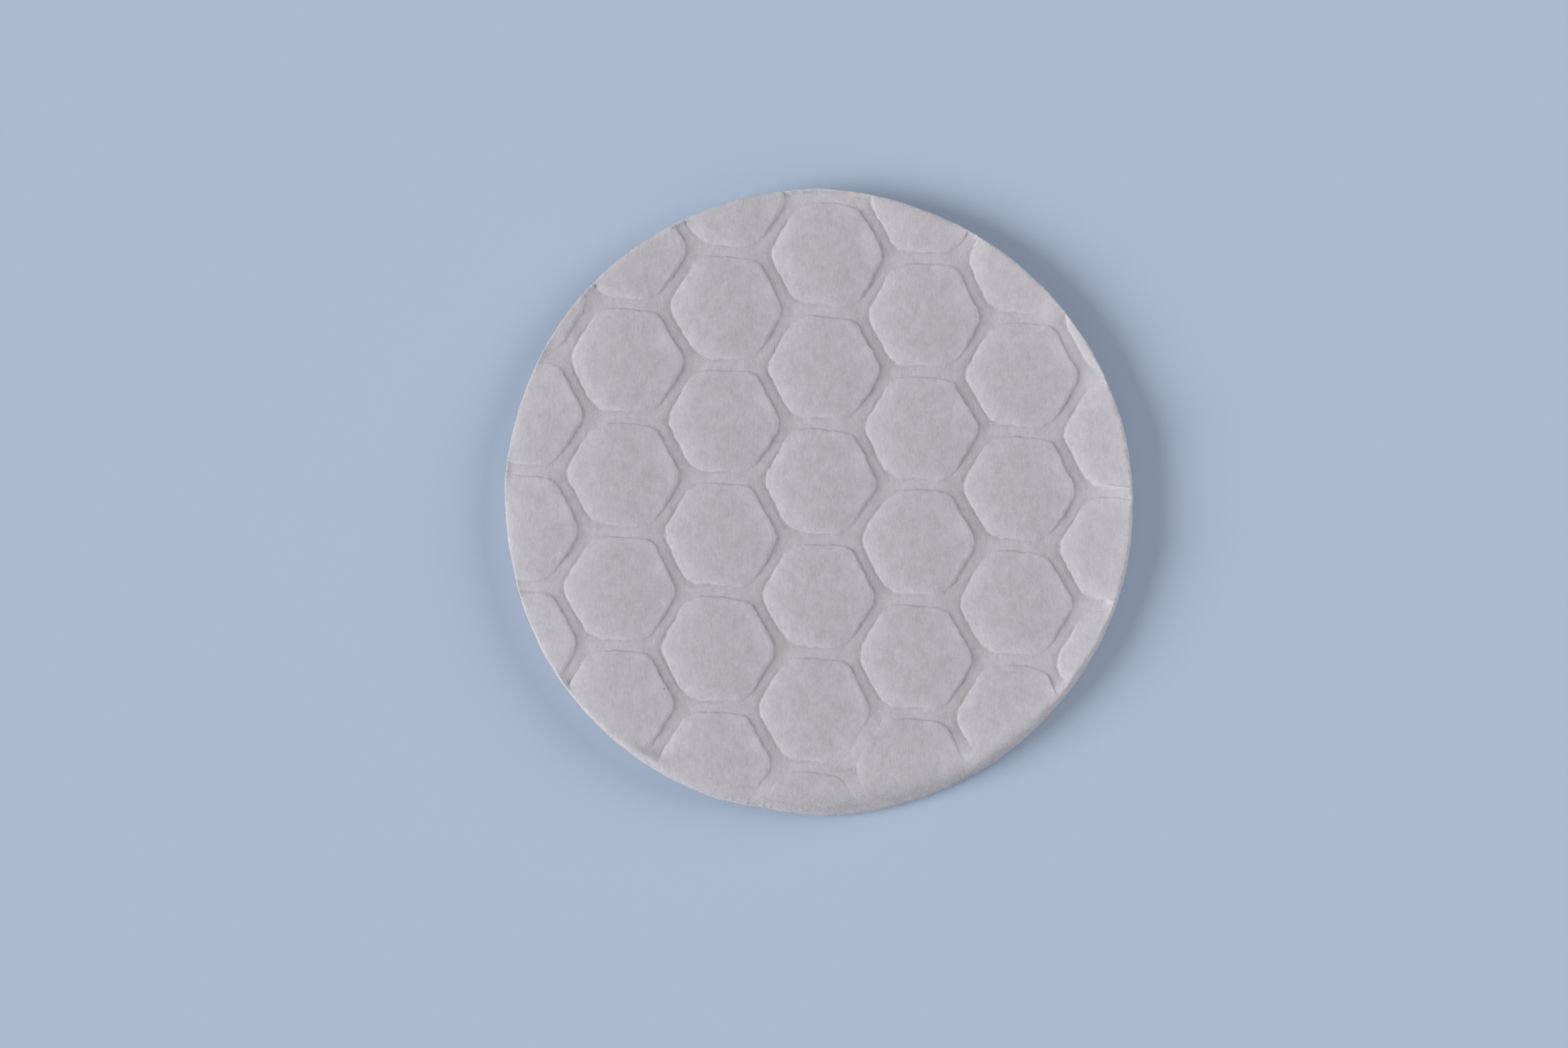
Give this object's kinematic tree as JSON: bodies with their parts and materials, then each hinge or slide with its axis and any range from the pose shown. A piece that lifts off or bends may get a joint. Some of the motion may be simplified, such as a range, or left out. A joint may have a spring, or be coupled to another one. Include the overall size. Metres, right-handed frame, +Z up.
{
  "type": "cotton pad",
  "caption": "Round cotton pad with a honeycomb of soft raised tiles embossed into its upper face, a plain underside and a die-cut edge.",
  "frame": {"origin": "middle of the flat underside, at the centre of the pad's outline", "axes": "+Z up out of the embossed face, +Y along the web and the columns of tiles, +X across the web"},
  "size_m": [0.0572, 0.0566, 0.003],
  "materials": {
    "cotton": "matt, soft, short fibre nap"
  },
  "bodies": {
    "root": {"cotton_pad": "cotton"}
  },
  "joints": []
}
